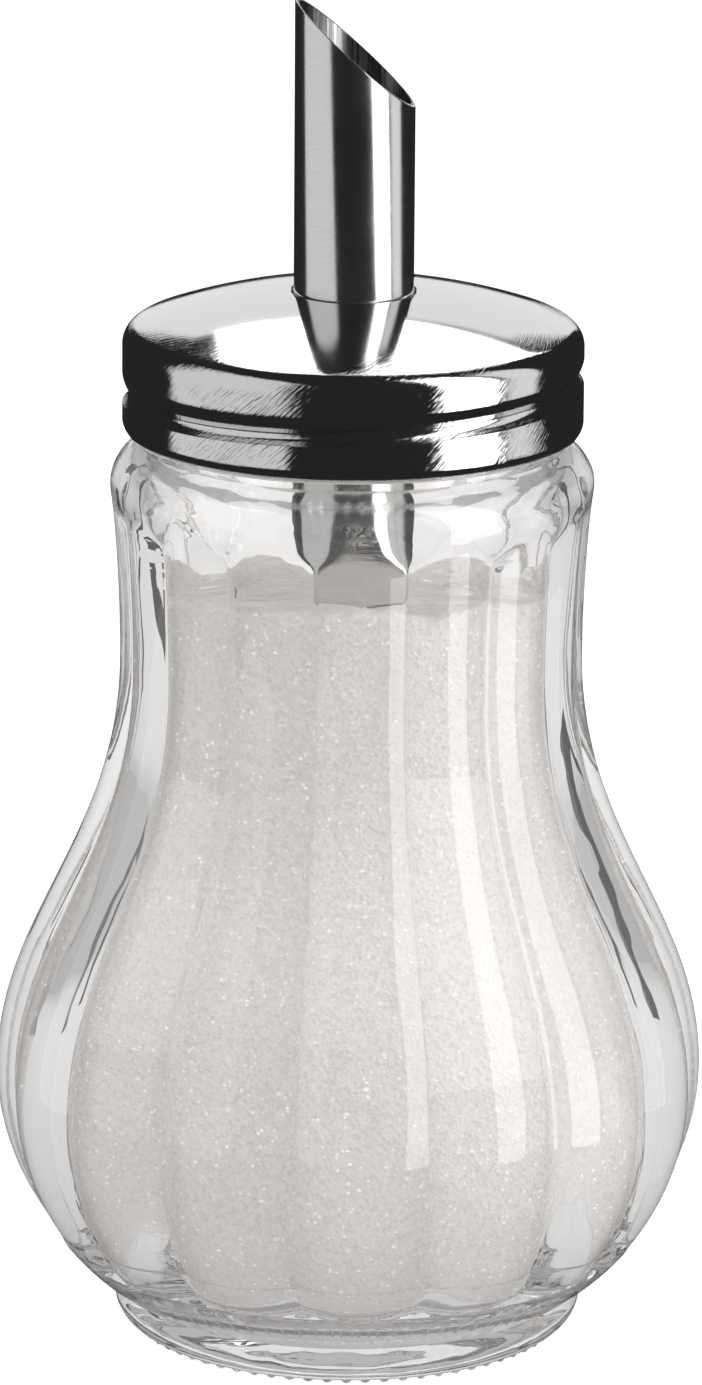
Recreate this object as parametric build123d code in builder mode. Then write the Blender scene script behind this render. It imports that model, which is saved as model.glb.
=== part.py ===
"""Sugar dispenser: a fluted glass jar, a sheet-metal screw cap and a slant-cut pouring tube.

The jar stands on +Z with its origin at the middle of the base, and the front is -Y. Turning the cap
anticlockwise, seen from above, screws it up and off the jar, and the tube rises with it.
"""

import os
from math import asin, cos, degrees, radians, sin, sqrt

from build123d import *

# ------------------------------------------------------------------ driving dimensions (mm, degrees)
# Jar, outside: the crests of the flutes run along one smooth meridian from the foot to the shoulder
bulge_radius = 42.4  # crest of the flutes at the widest level
bulge_height = 31.4  # level of the widest circle
bulge_pull_down = 12.0  # pull of the curve at the widest level, downwards: more makes a fuller bulge
bulge_pull_up = 19.0  # and upwards
neck_radius = 27.55  # crest of the flutes at the waist
neck_height = 83.0
neck_pull = 23.25  # pull of the curve at the waist, downwards
shoulder_radius = 28.6
shoulder_height = 103.0
plain_rise = 1.3  # widest level of the plain shoulder, above that of the crests
shoulder_under = 4.7  # plain shoulder's round, from its widest level down to inside the flutes
shoulder_tuck = 1.6  # how far it goes inwards on that way
shoulder_slope = 57.0  # its steepness at either end
crown_rise = 6.0  # widest level of the crests to the foot of the finish
flute_count = 16
flute_depth = 1.7  # crest to valley at the widest level, less in proportion where the jar is narrower
flute_phase = 2.5  # turn of the front crest away from -Y
flute_roll = 4.0  # round with which each crest dives into the shoulder
flute_roll_angle = 75.0
flute_start = 2.5  # flutes begin this far inside the foot
section_spacing = 5.0  # between the level sections that shape the flutes
front_azimuth = -90.0

# Foot
foot_radius = 28.2
foot_corner = 3.0  # round between the foot's side and the standing ring
foot_side = 5.0  # level where the foot's side meets the underside of the bulge
foot_lean = 33.0  # slope of the underside there
foot_pull = 8.0  # pull of the curve there
foot_top = 11.0  # level where the plain foot ends and the flutes begin
foot_proud = 0.3  # plain foot beyond the flutes' crests, counted at the widest level
foot_slope = 30.0  # lean of the small step between foot and flutes
foot_step = 3.4  # length of that step, which the flutes cover in part
ring_radius = 25.0  # middle of the standing ring
ring_width = 3.2
ring_rise = 0.5  # standing ring above the tips of its ridges
ridge_count = 72
ridge_length = 2.8
ridge_root = 1.2  # width where it leaves the ring
ridge_tip = 0.5
ridge_sunk = 0.3  # root inside the ring
push_up = 2.0  # hollow under the base

# Jar, inside, and its finish
wall = 3.6  # under a crest
floor = 6.5
floor_flat = 20.0  # radius of the flat floor
floor_pull = 8.5  # pull of the cavity's curve at the floor
cavity_pull = 13.5  # and at the widest level, downwards
bore_rise = 6.5  # shoulder's widest level to where the bore opens into the neck
bore_pull = 3.0  # pull of the curve between them, at either end
finish_rise = 18.4  # shoulder's widest level to the rim
finish_radius = 25.3
finish_wall = 3.8
rim_chamfer = 0.6

# Screw cap, pressed from sheet
sheet = 0.5
cap_room = 1.5  # finish to the cap's wall, for the thread
cap_height = 17.4
cap_corner = 2.5
dome_arc = 73.9
edge_rise = 1.2  # lower edge, drawn in
edge_in = 0.65
lip_bevel = 1.1  # edge of the middle hole, turned down round the tube
lip_depth = 2.2  # its straight part

# Sealing ring, between the rim and the dome
seal_thickness = 1.0  # at its outer edge
seal_gap = 0.3  # clear of the dome
seal_overhang = 0.2  # clear of the bore's edge and of the finish

# Pouring tube
tube_radius = 7.1
tube_wall = 0.5
tube_fit = 0.02  # radial, between tube and lip, and between tube and collar
tube_rise = 28.0  # top of the dome to the middle of the mouth
mouth_slant = 42.0
tube_floor_gap = 15.5  # lower end to the jar's floor
collar_height = 3.0
collar_width = 2.4

# Sugar
fill_height = 90.0
fill_gap = 0.25  # clear of the glass
slot_gap = 0.4  # clear of both sides of the tube, which turns in the sugar

# ------------------------------------------------------------------ derived dimensions
mouth_radius = finish_radius - finish_wall
jar_height = shoulder_height + finish_rise
bore_height = shoulder_height + bore_rise

seal_inner = mouth_radius + seal_overhang
seal_outer = finish_radius - seal_overhang
dome_fall = (dome_arc - sheet) - sqrt((dome_arc - sheet) ** 2 - seal_outer**2)  # apex to seal's edge
dome_top = jar_height + seal_thickness + seal_gap + dome_fall + sheet
dome_centre = dome_top - dome_arc
cap_radius = finish_radius + cap_room + sheet
cap_bottom = dome_top - cap_height
corner_radius = cap_radius - cap_corner
corner_height = dome_centre + sqrt((dome_arc - cap_corner) ** 2 - corner_radius**2)
corner_angle = degrees(asin((corner_height - dome_centre) / (dome_arc - cap_corner)))
sleeve_radius = tube_radius + tube_fit  # bore of the lip and of the collar
lip_angle = degrees(asin((sleeve_radius + lip_bevel) / dome_arc))
lip_top = dome_centre + dome_arc * cos(radians(lip_angle)) - lip_bevel
lip_bottom = lip_top - lip_depth
tube_bottom = floor + tube_floor_gap
mouth_level = dome_top + tube_rise


def seal_height(radius):
    """Level of the sealing ring's top at a radius, just under the dome."""
    return dome_centre + sqrt((dome_arc - sheet) ** 2 - radius**2) - seal_gap


def underside(proud=0.0):
    """Meridian of the underside, from the foot's side up to the widest level."""
    lean = Vector(cos(radians(foot_lean)), sin(radians(foot_lean)))
    start = Vector(foot_radius, foot_side)
    widest = Vector(bulge_radius + proud, bulge_height)
    below = widest - Vector(0, bulge_pull_down)
    return Bezier(start, start + lean * foot_pull, below, widest, mode=Mode.PRIVATE)


def upper_meridian(inset=0.0):
    """Meridian from the widest level over the waist to the shoulder, moved inwards by inset."""
    widest = Vector(bulge_radius - inset, bulge_height)
    waist = Vector(neck_radius - inset, neck_height)
    Bezier(widest, widest + Vector(0, bulge_pull_up), waist - Vector(0, neck_pull), waist)
    return TangentArc(waist, Vector(shoulder_radius - inset, shoulder_height), tangent=(0, 1))


def cavity_side(gap=0.0):
    """Closed outline of the jar's cavity up to the start of the bore, moved inwards by a gap."""
    edge = Vector(floor_flat - gap, floor + gap)
    widest = Vector(bulge_radius - wall - gap, bulge_height)
    Bezier(edge, edge + Vector(floor_pull, 0), widest - Vector(0, cavity_pull), widest)
    flare = upper_meridian(wall + gap)
    bore_start = Vector(mouth_radius - gap, bore_height)
    Bezier(flare @ 1, flare @ 1 + (flare % 1) * bore_pull, bore_start - Vector(0, bore_pull), bore_start)
    Polyline(bore_start, (0, bore_height), (0, floor + gap), edge)


def rise_to(curve, level):
    """Share of a rising curve that lies under a level."""
    low = 0.0
    high = 1.0
    for halving in range(30):
        middle = (low + high) / 2
        if (curve @ middle).Y < level:
            low = middle
        else:
            high = middle
    return low


def fluted_section(radius, height):
    """Level section of the jar: one convex arc for each flute, with the crests on the radius."""
    valley = radius * (1 - flute_depth / bulge_radius)
    step = 360 / flute_count
    with BuildSketch(Plane.XY.offset(height)) as section:
        with BuildLine():
            for flute in range(flute_count):
                crest = front_azimuth + flute_phase + flute * step
                start = Vector(valley, 0).rotate(Axis.Z, crest - step / 2)
                middle = Vector(radius, 0).rotate(Axis.Z, crest)
                end = Vector(valley, 0).rotate(Axis.Z, crest + step / 2)
                ThreePointArc(start, middle, end)
        make_face()
    return section.sketch


# ------------------------------------------------------------------ glass jar
with BuildLine() as crest_line:  # x is the radius and y the level
    belly = underside()
    add(belly.trim(rise_to(belly, foot_top - flute_start), 1))
    flare = upper_meridian()
    JernArc(flare @ 1, flare % 1, flute_roll, flute_roll_angle)

crest_points = [crest_line.edges().sort_by(Axis.Y)[0] @ 0]
for crest_edge in crest_line.edges().sort_by(Axis.Y):
    steps = max(3, round(crest_edge.length / section_spacing))
    for step in range(1, steps + 1):
        crest_points.append(crest_edge @ (step / steps))

with BuildSketch(Plane.YZ.offset(ring_radius - ridge_length / 2)) as ridge_section:
    with BuildLine():
        Polyline(
            (-ridge_tip / 2, 0),
            (ridge_tip / 2, 0),
            (ridge_root / 2, ring_rise),
            (ridge_root / 2, ring_rise + ridge_sunk),
            (-ridge_root / 2, ring_rise + ridge_sunk),
            (-ridge_root / 2, ring_rise),
            close=True,
        )
    make_face()
with BuildPart() as ridge:
    extrude(ridge_section.sketch, amount=ridge_length)

with BuildPart() as glass_jar:
    loft([fluted_section(point.X, point.Y) for point in crest_points])

    with BuildSketch(Plane.XZ):  # plain shoulder and neck
        with BuildLine():
            widest = Vector(shoulder_radius, shoulder_height + plain_rise)
            tuck = widest - Vector(shoulder_tuck, shoulder_under)
            slope = Vector(cos(radians(shoulder_slope)), sin(radians(shoulder_slope)))
            Spline(tuck, widest, tangents=(slope, (0, 1)))
            crown_end = Vector(finish_radius, shoulder_height + crown_rise)
            Spline(widest, crown_end, tangents=((0, 1), (-slope.Y, slope.X)))
            Polyline(crown_end, (finish_radius, jar_height), (0, jar_height), (0, tuck.Y), tuck)
        make_face()
    revolve(axis=Axis.Z)

    with BuildSketch(Plane.XZ):  # plain foot
        with BuildLine():
            ring_inner = (ring_radius - ring_width / 2, ring_rise)
            hollow = TangentArc((0, ring_rise + push_up), ring_inner, tangent=(1, 0))
            ring = Line(hollow @ 1, (ring_radius + ring_width / 2, ring_rise))
            side_low = Vector(foot_radius, ring_rise + foot_corner)
            TangentArc(side_low, ring @ 1, tangent=(0, -1))
            proud_side = underside(foot_proud)
            under = proud_side.trim(0, rise_to(proud_side, foot_top))
            add(under)
            step_lean = Vector(-sin(radians(foot_slope)), cos(radians(foot_slope)))
            step_end = under @ 1 + step_lean * foot_step
            Line(side_low, under @ 0)
            Polyline(under @ 1, step_end, (0, step_end.Y), hollow @ 0)
        make_face()
    revolve(axis=Axis.Z)

    with BuildSketch(Plane.XZ):  # cavity
        with BuildLine():
            cavity_side()
        make_face()
    revolve(axis=Axis.Z, mode=Mode.SUBTRACT)
    with BuildSketch(Plane.XY.offset(bore_height)):
        Circle(mouth_radius)
    extrude(amount=jar_height - bore_height, mode=Mode.SUBTRACT)
    chamfer(glass_jar.edges().group_by(Axis.Z)[-1], rim_chamfer)

    with PolarLocations(0, ridge_count):
        add(ridge.part)

# ------------------------------------------------------------------ screw cap
with BuildPart() as cap_shell:
    with BuildSketch(Plane.XZ):
        with BuildLine():
            Line((cap_radius - edge_in, cap_bottom), (cap_radius, cap_bottom + edge_rise))
            Line((cap_radius, cap_bottom + edge_rise), (cap_radius, corner_height))
            CenterArc((corner_radius, corner_height), cap_corner, 0, corner_angle)
            dome = CenterArc((0, dome_centre), dome_arc, corner_angle, 90 - lip_angle - corner_angle)
            Polyline(dome @ 1, (sleeve_radius, lip_top), (sleeve_radius, lip_bottom))
            offset(amount=sheet, side=Side.LEFT, kind=Kind.INTERSECTION)
        make_face()
    revolve(axis=Axis.Z)

# ------------------------------------------------------------------ sealing ring
with BuildPart() as sealing_ring:
    with BuildSketch(Plane.XZ):
        with BuildLine():
            Polyline(
                (seal_inner, seal_height(seal_inner)),
                (seal_inner, jar_height),
                (seal_outer, jar_height),
                (seal_outer, seal_height(seal_outer)),
                close=True,
            )
        make_face()
    revolve(axis=Axis.Z)

# ------------------------------------------------------------------ pouring tube and its collar
with BuildPart() as pour_tube:
    with BuildSketch(Plane.XY.offset(tube_bottom)):
        Circle(tube_radius)
        Circle(tube_radius - tube_wall, mode=Mode.SUBTRACT)
    extrude(amount=mouth_level - tube_bottom + 2 * tube_radius)
    mouth_lean = (sin(radians(mouth_slant)), 0, cos(radians(mouth_slant)))
    split(bisect_by=Plane(origin=(0, 0, mouth_level), z_dir=mouth_lean), keep=Keep.BOTTOM)

with BuildPart() as tube_collar:
    with BuildSketch(Plane.XY.offset(lip_bottom - collar_height)):
        Circle(sleeve_radius + collar_width)
        Circle(sleeve_radius, mode=Mode.SUBTRACT)
    extrude(amount=collar_height)

# ------------------------------------------------------------------ sugar
with BuildPart() as sugar_fill:
    with BuildSketch(Plane.XZ):
        with BuildLine():
            cavity_side(fill_gap)
        make_face()
    revolve(axis=Axis.Z)
    split(bisect_by=Plane.XY.offset(fill_height), keep=Keep.BOTTOM)
    with BuildSketch(Plane.XY.offset(tube_bottom - slot_gap)):
        Circle(tube_radius + slot_gap)
        Circle(tube_radius - tube_wall - slot_gap, mode=Mode.SUBTRACT)
    extrude(amount=fill_height - tube_bottom + slot_gap, mode=Mode.SUBTRACT)

# ------------------------------------------------------------------ labels and files
glass_jar.part.label = "glass_jar"
cap_shell.part.label = "cap_shell"
sealing_ring.part.label = "sealing_ring"
pour_tube.part.label = "pour_tube"
tube_collar.part.label = "tube_collar"
sugar_fill.part.label = "sugar_fill"

os.makedirs("parts", exist_ok=True)
export_step(glass_jar.part, "parts/glass_jar.step")
export_step(cap_shell.part, "parts/cap_shell.step")
export_step(sealing_ring.part, "parts/sealing_ring.step")
export_step(pour_tube.part, "parts/pour_tube.step")
export_step(tube_collar.part, "parts/tube_collar.step")
export_step(sugar_fill.part, "parts/sugar_fill.step")
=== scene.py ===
# %% [markdown]
# # A sugar dispenser: fluted glass, pressed steel and a drift of sugar
#
# The dispenser is a bulbous glass jar with sixteen soft flutes, filled with sugar past its waist.
# A steel cap with a rolled thread screws on top of it, and a slant-cut steel tube runs through the
# cap down into the sugar. Tipping the jar lets one spoonful run out of the tube.
#
# Everything here starts from a CAD frame that is loaded first. It fixes the sizes and the places.
# The pieces made below are finer skins over its solids: they have rounded edges, a rolled thread
# and a finish that a plain solid lacks.

# %% Load the frame and note its box
import math

import bpy
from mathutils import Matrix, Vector, noise


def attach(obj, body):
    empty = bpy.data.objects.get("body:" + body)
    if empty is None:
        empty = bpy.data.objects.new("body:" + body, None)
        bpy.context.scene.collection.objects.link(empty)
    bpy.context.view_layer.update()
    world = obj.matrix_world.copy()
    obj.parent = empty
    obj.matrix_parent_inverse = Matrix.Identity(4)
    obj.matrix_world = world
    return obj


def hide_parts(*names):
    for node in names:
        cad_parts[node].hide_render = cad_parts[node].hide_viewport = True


MM = 0.001
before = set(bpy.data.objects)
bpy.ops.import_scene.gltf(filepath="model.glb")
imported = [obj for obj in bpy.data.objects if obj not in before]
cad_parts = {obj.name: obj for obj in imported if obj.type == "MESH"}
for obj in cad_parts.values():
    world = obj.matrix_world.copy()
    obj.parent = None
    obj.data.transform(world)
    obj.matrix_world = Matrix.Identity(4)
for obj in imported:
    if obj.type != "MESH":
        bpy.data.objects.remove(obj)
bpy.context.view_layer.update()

# %% [markdown]
# ## Curves to draw profiles with
#
# Most of the dispenser is turned: a profile goes once round the axis. A glassworker's mould and a
# spinner's lathe both work from such a profile, so it is worth drawing well.
# A Bezier curve is pulled by two handles, as in any drawing program. A chain of arcs would do too,
# but its joints show up in polished glass as kinks in the highlights.
# Each helper below gives back points as (radius, height) in millimetres.


# %% Profile helpers
def bezier(start, pull_a, pull_b, end, steps):
    """Points on a cubic Bezier curve, without its first point."""
    points = []
    for step in range(1, steps + 1):
        t = step / steps
        weights = ((1 - t) ** 3, 3 * t * (1 - t) ** 2, 3 * t * t * (1 - t), t**3)
        handles = (start, pull_a, pull_b, end)
        points.append(tuple(sum(w * h[axis] for w, h in zip(weights, handles)) for axis in (0, 1)))
    return points


def arc(centre, radius, first, last, steps):
    """Points on an arc between two angles in degrees, without its first point."""
    points = []
    for step in range(1, steps + 1):
        angle = math.radians(first + (last - first) * step / steps)
        points.append((centre[0] + radius * math.cos(angle), centre[1] + radius * math.sin(angle)))
    return points


def rise(start, end, steps):
    """Points on a straight line, without its first point."""
    return [
        (start[0] + (end[0] - start[0]) * k / steps, start[1] + (end[1] - start[1]) * k / steps)
        for k in range(1, steps + 1)
    ]


def radius_at(curve, level):
    """Radius of a rising curve at a level, or nothing above and below it."""
    if level < curve[0][1] or level > curve[-1][1]:
        return 0.0
    low, high = 0, len(curve) - 1
    while high - low > 1:
        middle = (low + high) // 2
        if curve[middle][1] <= level:
            low = middle
        else:
            high = middle
    span = curve[high][1] - curve[low][1]
    share = (level - curve[low][1]) / span if span > 1e-9 else 0.0
    return curve[low][0] + share * (curve[high][0] - curve[low][0])


# %% [markdown]
# ## Turning a profile
#
# Spin is Blender's lathe. A plane is merged to one point, the point is extruded along the profile,
# and the chain of edges is spun round Z by one sector. An Array that turns with a helper object
# copies the sector all round, which is much quicker than spinning a long profile the whole way.
# The Screw modifier gives the same shape, but Spin leaves a plain mesh that can be pressed and cut.
# The sectors meet in seams of double points, so these are merged, and the normals are turned
# outwards afterwards.


# %% The lathe
SECTORS = 12
SEAM = 0.01 * MM
sector_turn = bpy.data.objects.new("sector_turn", None)
sector_turn.rotation_euler.z = math.tau / SECTORS
bpy.context.scene.collection.objects.link(sector_turn)


def turned_piece(name, profile, columns):
    """A profile of (radius, height) points, in millimetres, spun about Z into one clean mesh."""
    bpy.ops.object.select_all(action="DESELECT")
    bpy.ops.mesh.primitive_plane_add(size=MM)
    piece = bpy.context.object
    piece.name = name
    piece.data.name = name
    bpy.ops.object.mode_set(mode="EDIT")
    bpy.ops.mesh.select_mode(type="VERT")
    bpy.ops.mesh.select_all(action="SELECT")
    bpy.ops.mesh.merge(type="CENTER")
    bpy.ops.transform.translate(value=(profile[0][0] * MM, 0, profile[0][1] * MM))
    for (radius_a, level_a), (radius_b, level_b) in zip(profile, profile[1:]):
        step = ((radius_b - radius_a) * MM, 0, (level_b - level_a) * MM)
        bpy.ops.mesh.extrude_region_move(TRANSFORM_OT_translate={"value": step})
    bpy.ops.mesh.select_all(action="SELECT")
    bpy.ops.mesh.spin(
        steps=columns // SECTORS, angle=math.tau / SECTORS, center=(0, 0, 0), axis=(0, 0, 1))
    bpy.ops.object.mode_set(mode="OBJECT")
    array = piece.modifiers.new("round", "ARRAY")
    array.use_relative_offset = False
    array.use_object_offset = True
    array.offset_object = sector_turn
    array.count = SECTORS
    array.use_merge_vertices = True
    array.merge_threshold = SEAM
    bpy.ops.object.modifier_apply(modifier=array.name)
    bpy.ops.object.mode_set(mode="EDIT")
    bpy.ops.mesh.select_all(action="SELECT")
    bpy.ops.mesh.remove_doubles(threshold=SEAM)
    bpy.ops.mesh.normals_make_consistent(inside=False)
    bpy.ops.object.mode_set(mode="OBJECT")
    return piece


def press(piece, rule):
    """Moves every point by a rule: radius, azimuth and level in, radius and level out."""
    for point in piece.data.vertices:
        radius = math.hypot(point.co.x, point.co.y) / MM
        azimuth = math.atan2(point.co.y, point.co.x)
        new_radius, new_level = rule(radius, math.degrees(azimuth), point.co.z / MM)
        if radius > 1e-6:
            point.co.x = new_radius * MM * math.cos(azimuth)
            point.co.y = new_radius * MM * math.sin(azimuth)
        point.co.z = new_level * MM
    piece.data.update()


def smooth(piece, angle=40.0):
    """Shades a piece smooth, but keeps edges sharper than an angle crisp."""
    bpy.ops.object.select_all(action="DESELECT")
    piece.select_set(True)
    bpy.context.view_layer.objects.active = piece
    bpy.ops.object.shade_smooth_by_angle(angle=math.radians(angle))
    triangles = sum(len(face.vertices) - 2 for face in piece.data.polygons)
    print(piece.name, "has", triangles, "triangles")


# %% [markdown]
# ## The jar's meridian
#
# The jar is pressed glass: a gob drops into a mould, and the mould's sixteen hollows leave sixteen
# soft crests on the wall. The crests follow one long S-curve from the foot, over a full belly, to a
# narrow waist and a small shoulder. There each crest dives under the plain, round shoulder.
# Two Bezier curves that share an upright handle at the widest level make the S, so it has no kink.

# %% Crest line and plain zones
FRONT = -90.0
FOOT_RADIUS, FOOT_SIDE, FOOT_TOP = 28.2, 5.0, 11.0
BELLY_RADIUS, BELLY_LEVEL = 42.4, 31.4
WAIST_RADIUS, WAIST_LEVEL = 27.55, 83.0
SHOULDER_RADIUS, SHOULDER_LEVEL = 28.6, 103.0
FINISH_RADIUS, MOUTH_RADIUS = 25.3, 21.5
JAR_TOP, BORE_LEVEL = 121.4, 109.5
WALL, FLOOR_LEVEL = 3.6, 6.5


def underside(proud=0.0, steps=120):
    """Meridian from the foot's side up to the widest level."""
    lean = math.radians(33.0)
    start = (FOOT_RADIUS, FOOT_SIDE)
    handle = (start[0] + 8.0 * math.cos(lean), start[1] + 8.0 * math.sin(lean))
    widest = (BELLY_RADIUS + proud, BELLY_LEVEL)
    return [start] + bezier(start, handle, (widest[0], BELLY_LEVEL - 12.0), widest, steps)


def flank(inset=0.0, steps=200):
    """Meridian from the widest level over the waist to the shoulder's widest level."""
    widest = (BELLY_RADIUS - inset, BELLY_LEVEL)
    waist = (WAIST_RADIUS - inset, WAIST_LEVEL)
    pulls = (widest[0], BELLY_LEVEL + 19.0), (waist[0], WAIST_LEVEL - 23.25)
    flare_width = SHOULDER_RADIUS - WAIST_RADIUS
    flare_height = SHOULDER_LEVEL - WAIST_LEVEL
    flare_radius = (flare_width**2 + flare_height**2) / (2 * flare_width)
    flare_angle = math.degrees(math.asin(flare_height / flare_radius))
    flare = arc((waist[0] + flare_radius, WAIST_LEVEL), flare_radius, 180, 180 - flare_angle, 40)
    return [widest] + bezier(widest, pulls[0], pulls[1], waist, steps) + flare


crest_line = underside() + flank()[1:]
FLARE_OUT, FLARE_UP = 1.05, 20.0
roll_radius, roll_lean = 4.0, math.degrees(math.atan2(FLARE_OUT, FLARE_UP)) * 2
roll_centre = (crest_line[-1][0] - roll_radius * math.cos(math.radians(roll_lean)),
               crest_line[-1][1] + roll_radius * math.sin(math.radians(roll_lean)))
crest_line += arc(roll_centre, roll_radius, -roll_lean, 75, 30)
print("crest line from", crest_line[0], "to", crest_line[-1])

# %% The plain foot and the plain shoulder
FOOT_PROUD, FOOT_BEVEL, PLAIN_RISE = 0.3, 1.7, 1.3
foot_line = [point for point in underside(proud=FOOT_PROUD, steps=400) if point[1] <= FOOT_TOP]
foot_line.append((foot_line[-1][0] - FOOT_BEVEL,
                  foot_line[-1][1] + FOOT_BEVEL / math.tan(math.radians(30))))
widest_ring = (SHOULDER_RADIUS, SHOULDER_LEVEL + PLAIN_RISE)
tuck = (widest_ring[0] - 1.6, widest_ring[1] - 4.7)
crown = (FINISH_RADIUS, SHOULDER_LEVEL + 6.0)
slope = (math.cos(math.radians(57)), math.sin(math.radians(57)))
low_pull, high_pull = 1.65, 1.9
tuck_pull = (tuck[0] + low_pull * slope[0], tuck[1] + low_pull * slope[1])
crown_pull = (crown[0] + high_pull * slope[1], crown[1] - high_pull * slope[0])
below_ring = (widest_ring[0], widest_ring[1] - low_pull)
above_ring = (widest_ring[0], widest_ring[1] + high_pull)
shoulder_line = [tuck] + bezier(tuck, tuck_pull, below_ring, widest_ring, 40)
shoulder_line += bezier(widest_ring, above_ring, crown_pull, crown, 40)
print("plain foot up to", foot_line[-1], "and plain shoulder from", shoulder_line[0])

# %% [markdown]
# ## Pressing the flutes
#
# Each flute is one shallow arc between two valleys, like the side of a scalloped column. At the
# foot and at the shoulder the flutes run out into plain round glass, and they leave small arches
# there. A boolean could join a fluted body to a plain one, but its cut leaves slivers along the
# arches that spoil the reflections. Here every point of the wall is simply pushed out to whichever
# lies further from the axis, the fluted wall or the plain one, with a small round between the two.

# %% Where the wall stands at any azimuth and level
FLUTES, FLUTE_PHASE, FLUTE_DEPTH = 16, 2.5, 1.7
half_flute = math.radians(180 / FLUTES)
valley = 1 - FLUTE_DEPTH / BELLY_RADIUS
arc_offset = (1 - valley**2) / (2 * (1 - valley * math.cos(half_flute)))


def flute(azimuth):
    """Share of the crest's radius that the wall has at an azimuth."""
    turn = (azimuth - FRONT - FLUTE_PHASE) % (360 / FLUTES)
    off_crest = math.radians(min(turn, 360 / FLUTES - turn))
    height = arc_offset * math.sin(off_crest)
    return arc_offset * math.cos(off_crest) + math.sqrt((1 - arc_offset) ** 2 - height**2)


def rounded_max(a, b, round_size=0.25):
    """The larger of two radii, with a small round where they cross."""
    return 0.5 * (a + b + math.sqrt((a - b) ** 2 + round_size**2))


FAR_APART = 2.5
known_levels = {}


def wall_radius(azimuth, level):
    """Outer radius of the glass above the foot's side. Levels already met are looked up."""
    level = round(level, 3)
    if level not in known_levels:
        plain = max(radius_at(foot_line, level), radius_at(shoulder_line, level))
        known_levels[level] = (radius_at(crest_line, level), plain)
    crest, plain = known_levels[level]
    fluted = crest * flute(azimuth)
    if abs(fluted - plain) > FAR_APART:
        return max(fluted, plain)
    return rounded_max(fluted, plain)


crest_azimuth = FRONT + FLUTE_PHASE
valley_azimuth = crest_azimuth + 180 / FLUTES
print("flute depth at the belly, mm:", round(BELLY_RADIUS * (1 - flute(valley_azimuth)), 2))

# %% [markdown]
# ## The glass jar
#
# The whole jar is one closed skin of glass: outside, rim, bore, cavity and base. Light bends at
# both walls, so a jar made as a single sheet would look like a soap bubble. The rows of points lie
# closer together at the foot and under the shoulder, where the flutes end.
# The jar stands on a narrow ring with short ridges pressed across it, which keep the hot glass
# from sliding and chilling on the belt. They are pulled down from the ring's own points.

# %% Outside of the jar, from the base up
COLUMNS = 432
RING_RADIUS, RING_RISE, RIDGES = 25.0, 0.5, 72
DISH_RADIUS, DISH_DEPTH, FOOT_ROUND = 23.4, 2.0, 3.6125
RIM_LEVEL, RIM_ROUND = 120.6, 0.8
base_radius = (DISH_RADIUS**2 + DISH_DEPTH**2) / (2 * DISH_DEPTH)
base_angle = math.degrees(math.asin(DISH_RADIUS / base_radius))
base_centre = (0, RING_RISE + DISH_DEPTH - base_radius)
jar_profile = [(0.0, RING_RISE + DISH_DEPTH)]
jar_profile += arc(base_centre, base_radius, 90, 90 - base_angle, 10)
jar_profile += [(r, RING_RISE) for r in (23.6, 23.8, 24.2, 24.7, 25.3, 25.8, 26.2, 26.4, 26.6)]
jar_profile += arc((FOOT_RADIUS - FOOT_ROUND, 3.5), FOOT_ROUND, -56.15, 0, 8)
jar_profile += [(FOOT_RADIUS, 4.2), (FOOT_RADIUS, FOOT_SIDE)]

levels = [FOOT_SIDE + 0.5 * k for k in range(1, 11)]
levels += [10.2 + 0.25 * k for k in range(13)]
levels += [13.8 + 0.8 * k for k in range(8)]
levels += [20.4 + 1.8 * k for k in range(43)]
levels += [98.0 + 0.34 * k for k in range(23)]
levels += [106.0 + 0.6 * k for k in range(5)] + [crown[1]]
jar_profile += [(wall_radius(crest_azimuth, level), level) for level in levels]
jar_profile += [(FINISH_RADIUS, 110.5 + 3.0 * k) for k in range(3)] + [(FINISH_RADIUS, RIM_LEVEL)]
jar_profile += arc((FINISH_RADIUS - RIM_ROUND, RIM_LEVEL), RIM_ROUND, 0, 90, 4)
print("outside of the jar has", len(jar_profile), "points")

# %% Inside of the jar, from the rim down, and the lathe
BORE_PULL, BELLY_PULL, FLOOR_PULL = 4.6, 13.5, 8.5
jar_profile += [(MOUTH_RADIUS + RIM_ROUND, JAR_TOP)]
jar_profile += arc((MOUTH_RADIUS + RIM_ROUND, RIM_LEVEL), RIM_ROUND, 90, 180, 4)
jar_profile += rise((MOUTH_RADIUS, RIM_LEVEL), (MOUTH_RADIUS, BORE_LEVEL), 4)
cavity_line = list(reversed(flank(inset=WALL, steps=34)[:-1]))
cavity_line = [point for k, point in enumerate(cavity_line) if k % 5 == 0 or k > 39]
flare_end = cavity_line[0]
flare_lean = math.radians(90 - roll_lean)
flare_pull = (flare_end[0] + BORE_PULL * math.cos(flare_lean),
              flare_end[1] + BORE_PULL * math.sin(flare_lean))
jar_profile += bezier((MOUTH_RADIUS, BORE_LEVEL), (MOUTH_RADIUS, BORE_LEVEL - BORE_PULL),
                      flare_pull, flare_end, 14)
jar_profile += cavity_line[1:]
belly_inside = (BELLY_RADIUS - WALL, BELLY_LEVEL)
floor_edge = (20.0, FLOOR_LEVEL)
jar_profile += bezier(belly_inside, (belly_inside[0], BELLY_LEVEL - BELLY_PULL),
                      (floor_edge[0] + FLOOR_PULL, FLOOR_LEVEL), floor_edge, 22)
jar_profile += rise(floor_edge, (0.0, FLOOR_LEVEL), 5)
glass = turned_piece("fluted_glass", jar_profile, COLUMNS)
print("jar profile has", len(jar_profile), "points")


# %% Press the flutes and pull down the ridges
RIDGE_HALF_WIDTH, RIDGE_FLANK = 0.62, 0.35


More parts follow.
